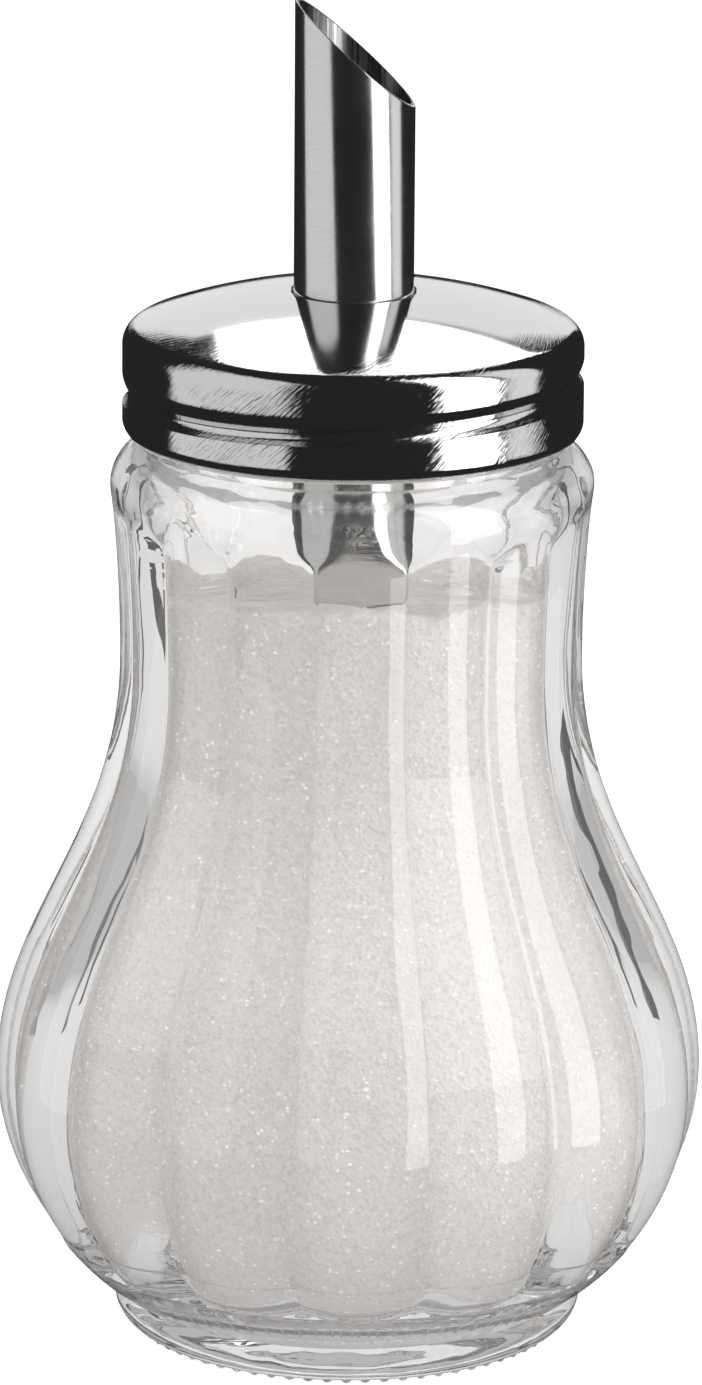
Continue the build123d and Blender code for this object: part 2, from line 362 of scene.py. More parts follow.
def shape_glass(radius, azimuth, level):
    """Presses the outer wall into flutes and pulls ridges down from the standing ring."""
    on_wall = FOOT_SIDE < level <= crown[1] + 0.01
    if on_wall and abs(radius - wall_radius(crest_azimuth, level)) < 0.05:
        return wall_radius(azimuth, level), level
    if abs(level - RING_RISE) < 0.01 and 23.7 < radius < 26.3:
        off_ridge = (azimuth + 180 / RIDGES) % (360 / RIDGES) - 180 / RIDGES
        across = abs(math.radians(off_ridge)) * RING_RADIUS
        drop = min(1.0, max(0.0, (RIDGE_HALF_WIDTH - across) / RIDGE_FLANK))
        return radius, RING_RISE - RING_RISE * drop
    return radius, level


press(glass, shape_glass)
smooth(glass, 35)
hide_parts("glass_jar")
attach(glass, "jar")

# %% [markdown]
# ## The screw cap
#
# The cap is drawn from half a millimetre of steel: a low dome, a tight corner and a straight wall.
# The thread is rolled into the wall, so it shows outside as a groove that climbs to the right, with
# a soft hollow above and a narrow ledge below. The lower edge is drawn in, and the edge of the
# middle hole is turned down round the tube.
# Solidify could give the sheet its thickness, but a wall drawn as a closed profile keeps exact
# radii where the tube passes, and its two edges can be rounded at the same time.

# %% Profile of the sheet
SHEET = 0.5
CAP_RADIUS, CAP_BOTTOM, CAP_CORNER = 27.3, 110.225, 2.5
DOME_TOP, DOME_ARC = 127.626, 73.9
TUBE_RADIUS, SLEEVE_RADIUS = 7.1, 7.12
dome_centre = DOME_TOP - DOME_ARC
corner_x = CAP_RADIUS - CAP_CORNER
corner_z = dome_centre + math.sqrt((DOME_ARC - CAP_CORNER) ** 2 - corner_x**2)
corner_angle = math.degrees(math.asin((corner_z - dome_centre) / (DOME_ARC - CAP_CORNER)))
lip_angle = math.degrees(math.asin((SLEEVE_RADIUS + 1.1) / DOME_ARC))


EDGE_ARC = ((0.7, 0.7), (0.0, 1.0), (-0.7, 0.7))


def sheet_profile(line, thickness):
    """A closed profile: the outer line, the same line set inwards, and two rounded edges."""
    inner, normals = [], []
    for k, point in enumerate(line):
        before, after = line[max(0, k - 1)], line[min(len(line) - 1, k + 1)]
        along = Vector((after[0] - before[0], after[1] - before[1])).normalized()
        normals.append(Vector((-along.y, along.x)))
        inner.append((point[0] + normals[-1].x * thickness, point[1] + normals[-1].y * thickness))
    edges = []
    for k, sign in ((-1, 1), (0, -1)):
        middle = Vector(line[k]) + normals[k] * thickness / 2
        out = Vector((normals[k].y, -normals[k].x)) * sign * thickness / 2
        side = normals[k] * thickness / 2 * sign
        edges.append([tuple(middle - side * c + out * s) for c, s in EDGE_ARC])
    return line + edges[0] + inner[::-1] + edges[1] + [line[0]]


# %% The cap's outer line and the lathe
DRAWN_IN = ((0.65, 0.0), (0.42, 0.35), (0.2, 0.7), (0.06, 1.05), (0.0, 1.4))
THREAD_ROWS = [111.9 + 0.22 * k for k in range(39)]
cap_line = [(CAP_RADIUS - inward, CAP_BOTTOM + up) for inward, up in DRAWN_IN]
cap_line += [(CAP_RADIUS, level) for level in THREAD_ROWS] + [(CAP_RADIUS, corner_z)]
cap_line += arc((corner_x, corner_z), CAP_CORNER, 0, corner_angle, 12)
cap_line += arc((0, dome_centre), DOME_ARC, corner_angle, 90 - lip_angle, 22)
lip_x, lip_z = cap_line[-1]
cap_line += bezier((lip_x, lip_z), (lip_x - 0.8, lip_z + 0.09),
                   (SLEEVE_RADIUS, lip_z - 0.1), (SLEEVE_RADIUS, lip_z - 1.1), 8)
cap_line += [(SLEEVE_RADIUS, lip_z - 2.2), (SLEEVE_RADIUS, lip_z - 3.2)]
cap = turned_piece("pressed_cap", sheet_profile(cap_line, SHEET), 360)
print("dome's edge at", (round(corner_x, 2), round(corner_z, 2)), "lip from level", round(lip_z, 2))


# %% Roll the thread
THREAD_PITCH, THREAD_LEVEL, THREAD_DEPTH = 5.08, 116.05, 1.0


def groove(above):
    """Depth of the rolled groove, as a share, at a height above its bottom."""
    if above >= 0:
        return max(0.0, 1 - above / 2.3) ** 1.6
    return max(0.0, 1 - (above / 1.2) ** 2) ** 0.8


def roll_thread(radius, azimuth, level):
    """Presses the groove into the wall and lets it climb with the azimuth."""
    if radius < CAP_RADIUS - SHEET - 0.1 or not 111.8 < level < corner_z:
        return radius, level
    turn = (azimuth - FRONT + 180) % 360 - 180
    fade = 1.0 if abs(turn) < 140 else 0.5 + 0.5 * math.cos(math.pi * (abs(turn) - 140) / 40)
    middle = 1.0 - ((level - THREAD_LEVEL) / 4.35) ** 2
    climb = THREAD_PITCH * turn / 360 * fade * max(0.0, middle) ** 0.5
    return radius - THREAD_DEPTH * groove(level - THREAD_LEVEL) * fade, level + climb


press(cap, roll_thread)
smooth(cap, 50)
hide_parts("cap_shell")
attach(cap, "cap")

# %% [markdown]
# ## The pouring tube
#
# The tube is a thin drawn pipe, cut off at a steep slant so that it pours like a spout. It is
# turned as an open-ended double wall, sliced with Bisect, and the two loops of the cut are bridged.
# A tiny bevel on the rim catches the light, as a deburred edge does.

# %% Turn the pipe, cut the slant and close the rim
TUBE_WALL, TUBE_BOTTOM, MOUTH_LEVEL, MOUTH_SLANT = 0.5, 22.0, 155.626, 42.0
tube_inner = TUBE_RADIUS - TUBE_WALL
TUBE_EDGE, TUBE_LEVELS = 0.1, (170.0, 126.0, 90.0)
tube_rows = [(TUBE_RADIUS, level) for level in TUBE_LEVELS]
tube_rows += [(TUBE_RADIUS, TUBE_BOTTOM + TUBE_EDGE), (TUBE_RADIUS - TUBE_EDGE, TUBE_BOTTOM)]
tube_rows += [(tube_inner + TUBE_EDGE, TUBE_BOTTOM), (tube_inner, TUBE_BOTTOM + TUBE_EDGE)]
tube_rows += [(tube_inner, level) for level in reversed(TUBE_LEVELS)]
tube = turned_piece("slant_cut_tube", tube_rows, 192)
slant = math.radians(MOUTH_SLANT)
bpy.ops.object.mode_set(mode="EDIT")
bpy.ops.mesh.select_all(action="SELECT")
bpy.ops.mesh.bisect(plane_co=(0, 0, MOUTH_LEVEL * MM),
                    plane_no=(math.sin(slant), 0, math.cos(slant)), clear_outer=True)
bpy.ops.mesh.select_all(action="DESELECT")
bpy.ops.mesh.select_non_manifold(extend=False, use_wire=False, use_boundary=True)
bpy.ops.mesh.bridge_edge_loops()
bpy.ops.mesh.select_all(action="SELECT")
bpy.ops.mesh.normals_make_consistent(inside=False)
bpy.ops.object.mode_set(mode="OBJECT")
bevel = tube.modifiers.new("rim", "BEVEL")
bevel.width = TUBE_EDGE * MM
bevel.segments = 2
bevel.limit_method = "ANGLE"
bevel.angle_limit = math.radians(40)
bpy.ops.object.modifier_apply(modifier=bevel.name)
smooth(tube, 40)
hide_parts("pour_tube")
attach(tube, "cap")

# %% [markdown]
# ## The sugar
#
# Sugar poured into the jar lies against the glass all round and heaps up in small mounds. The tube
# stands in it, so a narrow slot is left free round the tube's walls, inside and out.
# The body is turned like the jar's cavity, a quarter of a millimetre smaller. Then soft noise
# raises and lowers its top, and the rim is banked up towards the front.

# %% Turn the sugar
GAP, SLOT, FILL, EDGE_ROUND = 0.25, 0.4, 90.0, 2.0
slot_outer, slot_inner, slot_bottom = TUBE_RADIUS + SLOT, tube_inner - SLOT, TUBE_BOTTOM - SLOT
sugar_side = [(r - GAP, z) for r, z in flank(inset=WALL, steps=44)]
sugar_side = [point for point in sugar_side if point[1] < FILL - EDGE_ROUND - 0.3]
sugar_top = radius_at([(r - GAP, z) for r, z in flank(inset=WALL)], FILL)
sugar_floor = FLOOR_LEVEL + GAP
sugar_profile = [(0.0, sugar_floor)]
sugar_profile += rise((0.0, sugar_floor), (floor_edge[0] - GAP, sugar_floor), 4)
sugar_profile += bezier(sugar_profile[-1], (floor_edge[0] - GAP + FLOOR_PULL, sugar_floor),
                        (belly_inside[0] - GAP, BELLY_LEVEL - BELLY_PULL),
                        (belly_inside[0] - GAP, BELLY_LEVEL), 24)
sugar_profile += sugar_side[1:] + [(sugar_top, FILL - EDGE_ROUND)]
sugar_profile += arc((sugar_top - EDGE_ROUND, FILL - EDGE_ROUND), EDGE_ROUND, 0, 90, 8)
sugar_profile += rise((sugar_top - EDGE_ROUND, FILL), (slot_outer, FILL), 22)
sugar_profile += [(slot_outer, slot_bottom), (slot_inner, slot_bottom)]
sugar_profile += [(slot_inner, FILL)] + rise((slot_inner, FILL), (0.0, FILL), 7)
sugar = turned_piece("sugar_heap", sugar_profile, 288)
bpy.data.objects.remove(sector_turn)
print("sugar's top is", round(sugar_top, 2), "mm in radius")

# %% Heap up its top
MOUNDS = ((0.13, 1.4), (0.5, 0.5), (1.1, 0.45))


def heap(radius, azimuth, level):
    """Raises the top by mounds of three sizes and banks it up along the glass."""
    if level <= FILL - EDGE_ROUND - 0.01:
        return radius, level
    angle = math.radians(azimuth)
    place = Vector((radius * math.cos(angle), radius * math.sin(angle), level))
    mounds = sum(noise.noise(place * fineness) * height for fineness, height in MOUNDS)
    banked = (2.6 - 1.8 * math.sin(angle)) * (radius / sugar_top) ** 2
    return radius, level + mounds + banked


press(sugar, heap)
smooth(sugar, 60)
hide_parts("sugar_fill")
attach(sugar, "jar")

# %% [markdown]
# ## Materials: small effects shared as a node group
#
# Both steels carry fine turned lines, so these are built once, as a node group. The group puts out
# a height and a mask of wear, and each steel has its own Principled shader with its own values.
# Image textures of scratches would need unwrapping, and procedural lines follow the axis of the
# piece by themselves. A few helpers come first, because every material is built from the same
# handful of nodes.


# %% Helpers that add and join nodes
def new_material(name):
    """A material, its node tree and its Principled shader."""
    material = bpy.data.materials.new(name)
    material.use_nodes = True
    return material, material.node_tree, material.node_tree.nodes["Principled BSDF"]


def opaque(tone):
    """Red, green, blue and alpha, from one grey tone or from three channels."""
    channels = (tone, tone, tone) if isinstance(tone, float) else tuple(tone)
    return channels + (1.0,)


def plug(tree, value, socket):
    """Links another node's output to a socket, or sets the socket to a plain value."""
    if isinstance(value, bpy.types.NodeSocket):
        tree.links.new(value, socket)
    else:
        socket.default_value = value


def add_node(tree, kind, **sockets):
    """A shader node with its inputs filled in. An underscore stands for a space in their names."""
    node = tree.nodes.new("ShaderNode" + kind)
    for name, value in sockets.items():
        plug(tree, value, node.inputs[name.replace("_", " ")])
    return node


# %% Helpers for numbers
def maths(tree, operation, a, b=None):
    """One sum: a and b may be numbers or the outputs of other nodes."""
    node = tree.nodes.new("ShaderNodeMath")
    node.operation = operation
    plug(tree, a, node.inputs[0])
    if b is not None:
        plug(tree, b, node.inputs[1])
    return node.outputs[0]


def remap(tree, value, from_low, from_high, to_low, to_high):
    """Stretches one range of numbers over another, and clamps what lies outside."""
    return add_node(tree, "MapRange", Value=value, From_Min=from_low, From_Max=from_high,
                    To_Min=to_low, To_Max=to_high).outputs["Result"]


def axis_distance(tree, x, y):
    """How far a point lies from the dispenser's axis."""
    squares = maths(tree, "ADD", maths(tree, "MULTIPLY", x, x), maths(tree, "MULTIPLY", y, y))
    return maths(tree, "SQRT", squares)


def bearing_from_front(tree, x, y):
    """The angle round the axis, counted from the front, in radians."""
    return maths(tree, "ARCTAN2", x, maths(tree, "MULTIPLY", y, -1.0))


# %% Helpers for places, noise and tones
def place_in(tree, stretch=None):
    """Where a point lies on its piece, along stretched or squeezed axes if wanted."""
    place = tree.nodes.new("ShaderNodeTexCoord").outputs["Object"]
    if stretch is None:
        return place
    return add_node(tree, "Mapping", Vector=place, Scale=stretch).outputs["Vector"]


def split(tree, place):
    """The three numbers of a place."""
    return add_node(tree, "SeparateXYZ", Vector=place).outputs


def soft_noise(tree, place, scale, detail, roughness):
    """Soft clouds between 0 and 1."""
    return add_node(tree, "TexNoise", Vector=place, Scale=scale, Detail=detail,
                    Roughness=roughness).outputs["Fac"]


def tone_ramp(tree, value, *stops, stepped=False):
    """Tones along a value. Each stop is a place between 0 and 1 and a tone, in rising order."""
    ramp = tree.nodes.new("ShaderNodeValToRGB")
    ramp.color_ramp.interpolation = "CONSTANT" if stepped else "LINEAR"
    elements = ramp.color_ramp.elements
    elements[0].position, elements[1].position = stops[0][0], stops[-1][0]
    for place, tone in stops[1:-1]:
        elements.new(place)
    for element, (place, tone) in zip(elements, stops):
        element.color = opaque(tone)
    plug(tree, value, ramp.inputs["Fac"])
    return ramp.outputs["Color"]


def pick(tree, factor, a, b):
    """Blends from tone a, where the factor is 0, to tone b, where it is 1."""
    node = tree.nodes.new("ShaderNodeMix")
    node.data_type = "RGBA"
    plug(tree, factor, node.inputs["Factor"])
    for name, tone in (("A", a), ("B", b)):
        linked = isinstance(tone, bpy.types.NodeSocket)
        plug(tree, tone if linked else opaque(tone), node.inputs[name])
    return node.outputs["Result"]


def bumped(tree, height, strength, distance):
    """A normal that leans with a height pattern."""
    return add_node(tree, "Bump", Height=height, Strength=strength,
                    Distance=distance).outputs["Normal"]


# %% Group: turned lines
turned = bpy.data.node_groups.new("turned_lines", "ShaderNodeTree")
turned.interface.new_socket("Vector", in_out="INPUT", socket_type="NodeSocketVector")
for name in ("Lines", "Slant", "Length"):
    turned.interface.new_socket(name, in_out="INPUT", socket_type="NodeSocketFloat")
for name in ("Height", "Wear"):
    turned.interface.new_socket(name, in_out="OUTPUT", socket_type="NodeSocketFloat")
entry, leave = turned.nodes.new("NodeGroupInput"), turned.nodes.new("NodeGroupOutput")
place, lines, slant_share, shortness = [entry.outputs[k] for k in range(4)]
x, y, z = split(turned, place)
distance = axis_distance(turned, x, y)
down = maths(turned, "SUBTRACT", distance, z)
round_way = maths(turned, "MULTIPLY", bearing_from_front(turned, x, y), distance)
across = maths(turned, "ADD", down, maths(turned, "MULTIPLY", round_way, slant_share))
along = maths(turned, "SUBTRACT", round_way, maths(turned, "MULTIPLY", down, slant_share))
line_place = add_node(turned, "CombineXYZ", X=maths(turned, "MULTIPLY", across, lines),
                      Y=maths(turned, "MULTIPLY", along, shortness)).outputs["Vector"]
plug(turned, soft_noise(turned, line_place, 1.0, 2.0, 0.6), leave.inputs["Height"])
plug(turned, soft_noise(turned, place, 90.0, 3.0, 0.6), leave.inputs["Wear"])
print("group", turned.name, "has", len(turned.nodes), "nodes")


def turned_marks(tree, lines, slant, shortness):
    """The group placed in a material: gives the height and the wear of its lines."""
    marks = tree.nodes.new("ShaderNodeGroup")
    marks.node_tree = turned
    for value, socket in zip((place_in(tree), lines, slant, shortness), marks.inputs):
        plug(tree, value, socket)
    return marks.outputs["Height"], marks.outputs["Wear"]


# %% [markdown]
# ## Steel
#
# The cap is bright, polished after pressing, so it mirrors its surroundings and shows its turning
# marks only where a highlight ends. The dome is polished best, so its marks fade out above the
# wall. The tube is drawn through a die and left a little duller, with marks round it, and it is
# dull inside, where no polishing wheel reaches; there its colour is also made dark, with die lines
# in it, as painted shade in the bore. Roughness decides how sharp the mirror is.
# The marks go into a bump, far finer than anything a mesh could carry.

# %% Polished cap steel
DOME_LEVEL, DOME_CALM = 0.1245, 0.06
cap_steel, tree, shader = new_material("polished_cap_steel")
shader.inputs["Metallic"].default_value = 1.0
height, wear = turned_marks(tree, 2600.0, 0.9, 260.0)
CAP_TONE = (0.80, 0.80, 0.79)
worn_tone = [channel * 0.93 for channel in CAP_TONE]
plug(tree, tone_ramp(tree, height, (0.0, worn_tone), (1.0, CAP_TONE)), shader.inputs["Base Color"])
plug(tree, remap(tree, wear, 0.3, 0.7, 0.06, 0.104), shader.inputs["Roughness"])
level = split(tree, place_in(tree))[2]
calm = remap(tree, level, DOME_LEVEL - 0.002, DOME_LEVEL, 1.0, DOME_CALM)
strength = maths(tree, "MULTIPLY", remap(tree, wear, 0.4, 0.6, 0.2, 0.5), calm)
plug(tree, bumped(tree, height, strength, 0.0001), shader.inputs["Normal"])
cap.data.materials.append(cap_steel)
print(cap.name, "wears", cap_steel.name)

# %% Drawn tube steel
tube_steel, tree, shader = new_material("drawn_tube_steel")
shader.inputs["Metallic"].default_value = 1.0
height, wear = turned_marks(tree, 4200.0, 0.25, 300.0)
x, y, z = split(tree, place_in(tree))
inside = maths(tree, "LESS_THAN", axis_distance(tree, x, y), (TUBE_RADIUS - TUBE_WALL / 2) * MM)
bright = tone_ramp(tree, height, (0.0, (0.72, 0.72, 0.71)), (1.0, (0.82, 0.82, 0.81)))
die_lines = soft_noise(tree, place_in(tree, stretch=(1.0, 1.0, 0.04)), 3000.0, 2.0, 0.6)
# Painted shade: the bore's base colour is made dark, 0.10 to 0.42, with the die lines in it.
die_lines_in_painted_shade = tone_ramp(tree, die_lines, (0.35, 0.10), (0.7, 0.42))
plug(tree, pick(tree, inside, bright, die_lines_in_painted_shade), shader.inputs["Base Color"])
polish = remap(tree, wear, 0.3, 0.7, 0.13, 0.19)
dullness = maths(tree, "ADD", polish, maths(tree, "MULTIPLY", inside, 0.12))
plug(tree, dullness, shader.inputs["Roughness"])
plug(tree, bumped(tree, height, 0.16, 0.0001), shader.inputs["Normal"])
tube.data.materials.append(tube_steel)
print(tube.name, "wears", tube_steel.name)

# %% [markdown]
# ## Glass
#
# Pressed glass is clear, but its skin chilled against the mould, so it keeps a faint waviness that
# bends the highlights. A large soft noise in the bump gives this, and a finer, flatter one makes
# the ripples at the neck, where the glass was worked last. The shadow of clear glass is mostly
# light, so shadow rays pass through a plain transparent shader. Without that, the sugar would sit
# in the dark.

# %% Clear pressed glass
jar_glass, tree, shader = new_material("clear_pressed_glass")
shader.inputs["Metallic"].default_value = 0.0
shader.inputs["Transmission Weight"].default_value = 1.0
shader.inputs["IOR"].default_value = 1.5
shader.inputs["Roughness"].default_value = 0.0
film = soft_noise(tree, place_in(tree), 45.0, 3.0, 0.6)
glass_tone = tone_ramp(tree, film, (0.0, (0.965, 0.958, 0.954)), (1.0, (0.99, 0.985, 0.982)))
plug(tree, glass_tone, shader.inputs["Base Color"])
swell = soft_noise(tree, place_in(tree, stretch=(1.0, 1.0, 0.35)), 110.0, 2.0, 0.5)
ripple = soft_noise(tree, place_in(tree, stretch=(0.3, 0.3, 1.0)), 420.0, 2.0, 0.5)
at_neck = remap(tree, split(tree, place_in(tree))[2], 0.094, 0.106, 0.0, 0.5)
waves = maths(tree, "ADD", swell, maths(tree, "MULTIPLY", ripple, at_neck))
plug(tree, bumped(tree, waves, 0.25, 0.0006), shader.inputs["Normal"])

# %% Let light through the glass
clear = add_node(tree, "BsdfTransparent", Color=opaque((0.94, 0.935, 0.93)))
ray = tree.nodes.new("ShaderNodeLightPath")
either = tree.nodes.new("ShaderNodeMixShader")
for output, socket in zip((ray.outputs["Is Shadow Ray"], shader.outputs[0], clear.outputs[0]),
                          either.inputs):
    tree.links.new(output, socket)
plug(tree, either.outputs[0], tree.nodes["Material Output"].inputs["Surface"])
glass.data.materials.append(jar_glass)
print("glass IOR:", shader.inputs["IOR"].default_value)

# %% [markdown]
# ## Sugar grains
#
# A grain of table sugar is a clear little crystal, about half a millimetre across. In a heap the
# grains scatter light until it is white, and here and there one facet flashes.
# Modelling millions of grains is out of the question, so a Voronoi pattern stands for them: each
# cell is a grain with its own tone and height, and the brightest few cells carry painted glints.
# Light also seeps through the outermost grains, most of all on top, and a faint painted glow,
# stronger on top, stands for that.

# %% White sugar: tones and grain
GRAINS = 2600.0
white_sugar, tree, shader = new_material("white_sugar")
shader.inputs["Roughness"].default_value = 0.35
grains = add_node(tree, "TexVoronoi", Vector=place_in(tree), Scale=GRAINS)
cell = add_node(tree, "SeparateColor", Color=grains.outputs["Color"]).outputs
drift = soft_noise(tree, place_in(tree), 140.0, 3.0, 0.6)
grain_tone = maths(tree, "ADD", maths(tree, "MULTIPLY", cell[0], 0.7),
                   maths(tree, "MULTIPLY", drift, 0.3))
sugar_tone = tone_ramp(tree, grain_tone, (0.0, (0.75, 0.725, 0.71)), (0.4, (0.87, 0.845, 0.83)),
                       (1.0, (0.95, 0.927, 0.912)))
plug(tree, sugar_tone, shader.inputs["Base Color"])
grain_height = maths(tree, "ADD", grains.outputs["Distance"], maths(tree, "MULTIPLY", cell[1], 0.6))
plug(tree, bumped(tree, grain_height, 0.45, 0.0003), shader.inputs["Normal"])
print("one grain in", round(1000 / GRAINS, 2), "mm")

# %% White sugar: painted glow and painted glints
FEW, FACET = 0.955, 0.42
# Painted glints: a few chosen cells glow at 0.5 as painted highlights.
chosen = maths(tree, "GREATER_THAN", cell[2], FEW)
mid_grain = maths(tree, "LESS_THAN", grains.outputs["Distance"], FACET)
painted_glint = maths(tree, "MULTIPLY", chosen, mid_grain)
# Painted glow: a faint emission on the sugar, stronger where it faces up, brightens the shaded top.
upward = split(tree, tree.nodes.new("ShaderNodeTexCoord").outputs["Normal"])[2]
painted_glow_mask = remap(tree, upward, 0.35, 0.9, 0.0, 1.0)
painted_glow = pick(tree, painted_glow_mask, (0.08, 0.078, 0.076), (0.21, 0.20, 0.195))
plug(tree, pick(tree, painted_glint, painted_glow, 0.5), shader.inputs["Emission Color"])
shader.inputs["Emission Strength"].default_value = 1.0
sugar.data.materials.append(white_sugar)
print(sugar.name, "wears", white_sugar.name)

# %% [markdown]
# ## The sealing ring and the collar
#
# Under the dome lies a thin soft ring that the cap squeezes onto the glass rim. It is milky
# plastic with a dull, slightly pitted skin. The collar that grips the tube from below is moulded
# in a whiter, harder plastic, with a finer skin. Both skins are made the same way, so one function
# builds them: clouds for the tone, pits for the roughness and the bump.


# %% Two plastics
def moulded_plastic(name, low_tone, high_tone, pit_scale, roughness, pit_depth):
    """A moulded plastic between two tones, with pits of a given fineness and depth."""
    material, tree, shader = new_material(name)
    pits = soft_noise(tree, place_in(tree), pit_scale, 2.0, 0.6)
    clouds = soft_noise(tree, place_in(tree), 160.0, 3.0, 0.5)
    warm = [(tone, tone, tone * 0.98) for tone in (low_tone, high_tone)]
    plug(tree, tone_ramp(tree, clouds, (0.0, warm[0]), (1.0, warm[1])), shader.inputs["Base Color"])
    plug(tree, remap(tree, pits, 0.3, 0.7, roughness, roughness + 0.15), shader.inputs["Roughness"])
    plug(tree, bumped(tree, pits, pit_depth, 0.0001), shader.inputs["Normal"])
    return material


for node_name, plastic in (
    ("sealing_ring", moulded_plastic("milky_sealing_plastic", 0.72, 0.84, 1800.0, 0.45, 0.15)),
    ("tube_collar", moulded_plastic("white_collar_plastic", 0.80, 0.86, 2600.0, 0.3, 0.08)),
):
    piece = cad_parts[node_name]
    piece.data.materials.clear()
    piece.data.materials.append(plastic)
    print(piece.name, "wears", plastic.name)

# %% [markdown]
# ## A white sweep and soft panels
#
# Glass and polished steel show little of themselves: they show the room. So the room is built with
# as much care as the piece. The dispenser stands on a white floor, and tall soft panels left and
# right leave dark gaps between them. In the steel the panels become pale stripes and the gaps
# become black ones.
#
# The floor is paper, lit from within so that it stays even. One plain glow would do for an opaque
# object. Here the jar bends the floor into view, so the floor glows differently for three kinds of
# light, which the Light Path node tells apart. To the camera it is nearly white. Light bent by the
# glass finds it darker in front than behind, with a painted shadow under the foot: a dim disc with
# a near-black ring round its edge, and that draws grey into the jar's edges. Light that came off
# the tube inside the jar finds sectors of dark and bright, which repeat the panels, so that the
# tube keeps its stripes behind the glass.

# %% The floor and its paper
bpy.ops.object.select_all(action="DESELECT")
bpy.ops.mesh.primitive_plane_add(size=7.0, location=(0, 0, 0))
floor = bpy.context.object
floor.name = "floor"
paper, tree, shader = new_material("white_paper_sweep")
shader.inputs["Roughness"].default_value = 0.9
shader.inputs["Specular IOR Level"].default_value = 0.1
fibre = soft_noise(tree, place_in(tree), 3.0, 3.0, 0.5)
paper_tone = tone_ramp(tree, fibre, (0.0, 0.60), (1.0, 0.63))
x, y, z = split(tree, place_in(tree))
bearing = remap(tree, bearing_from_front(tree, x, y), -math.pi, math.pi, 0.0, 1.0)
reach = axis_distance(tree, x, y)
ray = tree.nodes.new("ShaderNodeLightPath")
print("paper tone from 0.60 to 0.63")

# %% What bent light finds
FOOT_SHADE, FOOT_DARK, FAR_FLOOR = 0.0295, 0.0245, 0.15
around = tone_ramp(tree, bearing, (0.05, 0.48), (0.10, 0.28), (0.90, 0.28), (0.95, 0.48))
# Painted shadow: for bent light the floor under the foot is dim, with a near-black ring at its
# edge.
painted_shadow_under_foot = maths(tree, "LESS_THAN", reach, FOOT_SHADE)
painted_shadow_ring = maths(tree, "GREATER_THAN", reach, FOOT_DARK)
bent_glow = pick(tree, painted_shadow_under_foot, around, pick(tree, painted_shadow_ring, 0.3, 0.02))
print("the foot darkens the floor out to", FOOT_SHADE, "m")

# %% What light off the tube finds
SECTOR_TONES = ((-180, 0.04), (-105, 0.62), (-32, 0.03), (41, 3.0), (77, 0.7), (105, 0.04))
stripes = tone_ramp(tree, bearing, *[((start + 180) / 360, tone) for start, tone in SECTOR_TONES],
                    stepped=True)
off_metal = maths(tree, "GREATER_THAN", ray.outputs["Glossy Depth"], 0.5)
through_jar = maths(tree, "GREATER_THAN", ray.outputs["Transmission Depth"], 2.5)
far_off = maths(tree, "GREATER_THAN", reach, FAR_FLOOR)
off_tube = maths(tree, "MULTIPLY", far_off, maths(tree, "MULTIPLY", off_metal, through_jar))
glow = pick(tree, ray.outputs["Is Camera Ray"], pick(tree, off_tube, bent_glow, stripes), 0.75)
plug(tree, glow, shader.inputs["Emission Color"])
plug(tree, pick(tree, off_tube, paper_tone, 0.0), shader.inputs["Base Color"])
shader.inputs["Emission Strength"].default_value = 1.0
floor.data.materials.append(paper)
floor.visible_glossy = False
print(floor.name, "has", len(SECTOR_TONES), "sectors for light off the tube")

# %% [markdown]
# ## Lights
#
# Two kinds of panel share one function. The mirror panels are seen in steel and glass and light
# nothing else. The fills do the opposite: they light the sugar and the floor and show in no mirror.
# Ordinary lamps would do both at once, and then the sugar's brightness and the steel's stripes
# couldn't be set apart. The right panel is narrow and stands close, so its highlights run down the
# flutes from the shoulder and end sharply at the belly.


# %% Panels
def panel(name, azimuth, distance, low, high, width, radiance, tilt=0.0, fill=False):
    """A soft light that stands upright round the dispenser, from a low to a high edge."""
    angle = math.radians(azimuth)
    lamp = bpy.data.lights.new(name, "AREA")
    lamp.shape = "RECTANGLE"
    lamp.size, lamp.size_y = width, high - low
    lamp.energy = radiance * math.pi * lamp.size * lamp.size_y
    holder = bpy.data.objects.new(name, lamp)
    bpy.context.scene.collection.objects.link(holder)
    holder.location = (distance * math.cos(angle), distance * math.sin(angle), (low + high) / 2)
    holder.rotation_euler = (math.radians(90 - tilt), 0, angle + math.radians(90))
    holder.visible_camera = False
    holder.visible_glossy = not fill
    holder.visible_diffuse = fill
    holder.visible_transmission = fill
    print(name, [round(value, 2) for value in holder.location], round(lamp.energy, 1), "W")
    return holder


panel("left_panel", FRONT - 67, 1.1, -0.28, 1.5, 1.5, 0.69)
panel("right_panel", FRONT + 59.5, 0.42, -0.095, 0.9, 0.22, 3.6)
panel("right_wing", FRONT + 92, 1.1, -0.28, 1.5, 0.44, 0.8)
panel("back_panel", 90, 1.5, 0.1, 1.03, 0.8, 0.85)
overhead = panel("overhead", 86, 0.9, 0.75, 1.5, 0.78, 3.0, tilt=45)
overhead.rotation_euler.rotate_axis("Z", math.radians(-5))
panel("front_fill", FRONT, 1.2, 0.5, 1.5, 1.2, 0.45, tilt=40, fill=True)
panel("key_fill", FRONT + 62, 1.1, 0.1, 1.3, 0.9, 1.8, tilt=25, fill=True)
panel("left_fill", FRONT - 75, 1.1, 0.1, 1.3, 0.9, 1.05, tilt=25, fill=True)
panel("top_fill", 90, 0.3, 1.2, 2.2, 1.2, 0.8, tilt=75, fill=True)

# %% [markdown]
# ## Dark cards
#
# Clear glass on a white ground loses its edges. In a studio, strips of black card stand beside it
# and out of sight, and the glass bends them into thin grey lines. Six slim cards do that here.

# %% Dark cards
CARD_WIDTH, CARD_HEIGHT, CARD_DISTANCE = 0.018, 0.5, 0.30
black_card, tree, shader = new_material("black_card")
shader.inputs["Base Color"].default_value = opaque(0.12)
shader.inputs["Roughness"].default_value = 0.8


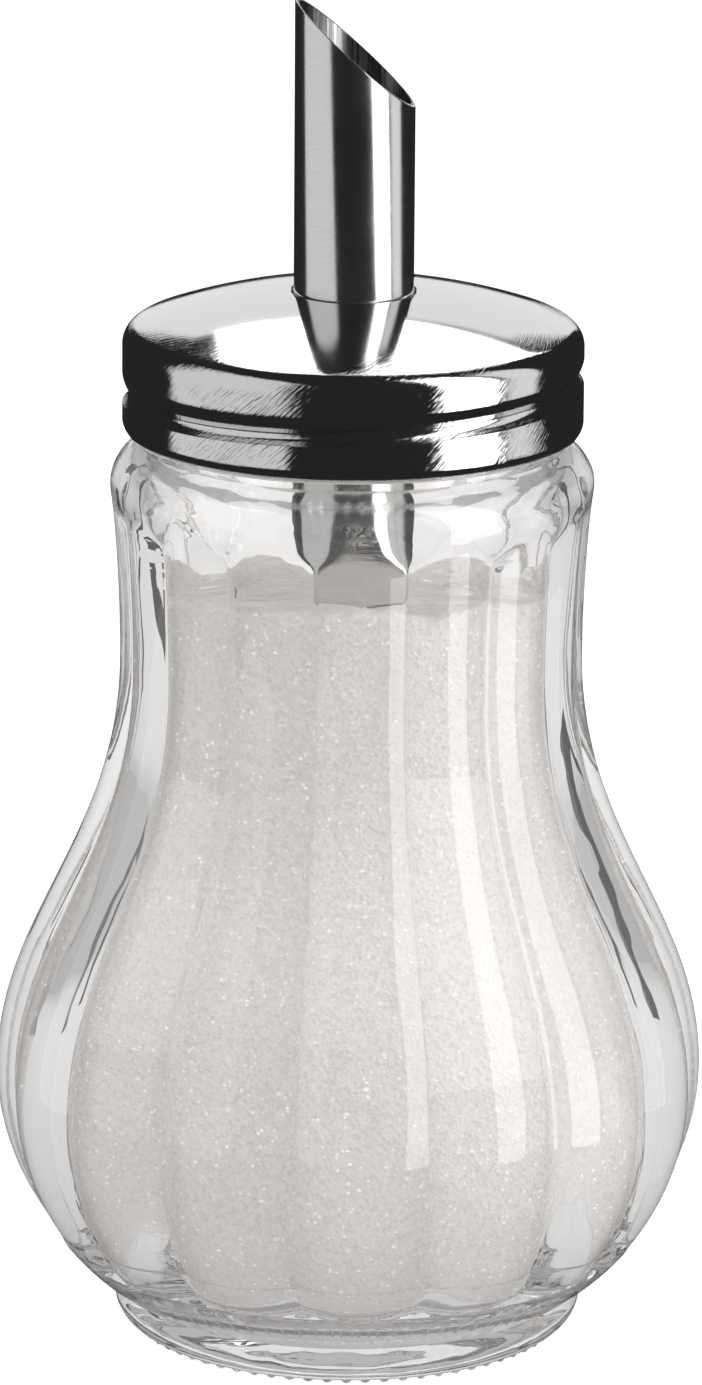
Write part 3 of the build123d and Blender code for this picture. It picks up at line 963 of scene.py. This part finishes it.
def card(name, azimuth):
    """A dark card that only bent light sees."""
    angle = math.radians(azimuth)
    bpy.ops.object.select_all(action="DESELECT")
    bpy.ops.mesh.primitive_plane_add(size=1.0)
    board = bpy.context.object
    board.name = name
    board.scale = (CARD_WIDTH, CARD_HEIGHT, 1)
    board.rotation_euler = (math.radians(90), 0, angle + math.radians(90))
    board.location = (CARD_DISTANCE * math.cos(angle), CARD_DISTANCE * math.sin(angle),
                      CARD_HEIGHT / 2)
    board.data.materials.append(black_card)
    for ray_kind in ("camera", "diffuse", "glossy", "shadow"):
        setattr(board, "visible_" + ray_kind, False)
    print(name, "at", azimuth, "degrees")


for turn in (24, 40, 56):
    card(f"card_left_{turn}", 180 - turn)
    card(f"card_right_{turn}", turn)

# %% [markdown]
# ## The room behind
#
# The world shader is what rays meet past the floor. It is pale for the camera and for light that
# comes through the glass, but nearly black for mirror reflections, so the steel keeps its contrast.

# %% World
world = bpy.data.worlds.new("studio")
bpy.context.scene.world = world
world.use_nodes = True
tree = world.node_tree
background = tree.nodes["Background"]
ray = tree.nodes.new("ShaderNodeLightPath")
not_bent = maths(tree, "SUBTRACT", 1.0, ray.outputs["Is Transmission Ray"])
mirrored = maths(tree, "MULTIPLY", ray.outputs["Is Glossy Ray"], not_bent)
plug(tree, pick(tree, mirrored, 0.5, 0.02), background.inputs["Color"])
background.inputs["Strength"].default_value = 1.0
print("world tones: 0.5 to the camera, 0.02 in mirrors")

# %% [markdown]
# ## Camera
#
# A long lens from a metre away looks down at the dispenser by about fifteen degrees. It flattens
# the rings of the cap into slim ellipses, as catalogues like to show them. The camera leans by a
# trace, so that the tube tips a little.
# Light crosses many walls of glass before it reaches the sugar or the floor, so the limits on
# bounces are raised. With the usual ones, parts of the jar would turn black.

# %% Camera and bounces
lens = bpy.data.cameras.new("camera")
lens.sensor_fit = "AUTO"
lens.sensor_width = 36.0
lens.lens = 226.0
lens.clip_end = 20.0
camera = bpy.data.objects.new("camera", lens)
bpy.context.scene.collection.objects.link(camera)
camera.location = (0.0, -1.0, 0.355)
aim = Vector((0.0, 0.0, 0.0779)) - camera.location
camera.rotation_euler = aim.to_track_quat("-Z", "Y").to_euler()
camera.rotation_euler.rotate_axis("Z", math.radians(0.4))
bpy.context.scene.camera = camera
bpy.context.scene.view_settings.view_transform = "Standard"
cycles = bpy.context.scene.cycles
cycles.max_bounces = 40
cycles.glossy_bounces = 32
cycles.transmission_bounces = 32
cycles.transparent_max_bounces = 24
print("camera pitch, degrees:", round(90 - math.degrees(camera.rotation_euler.x), 2))
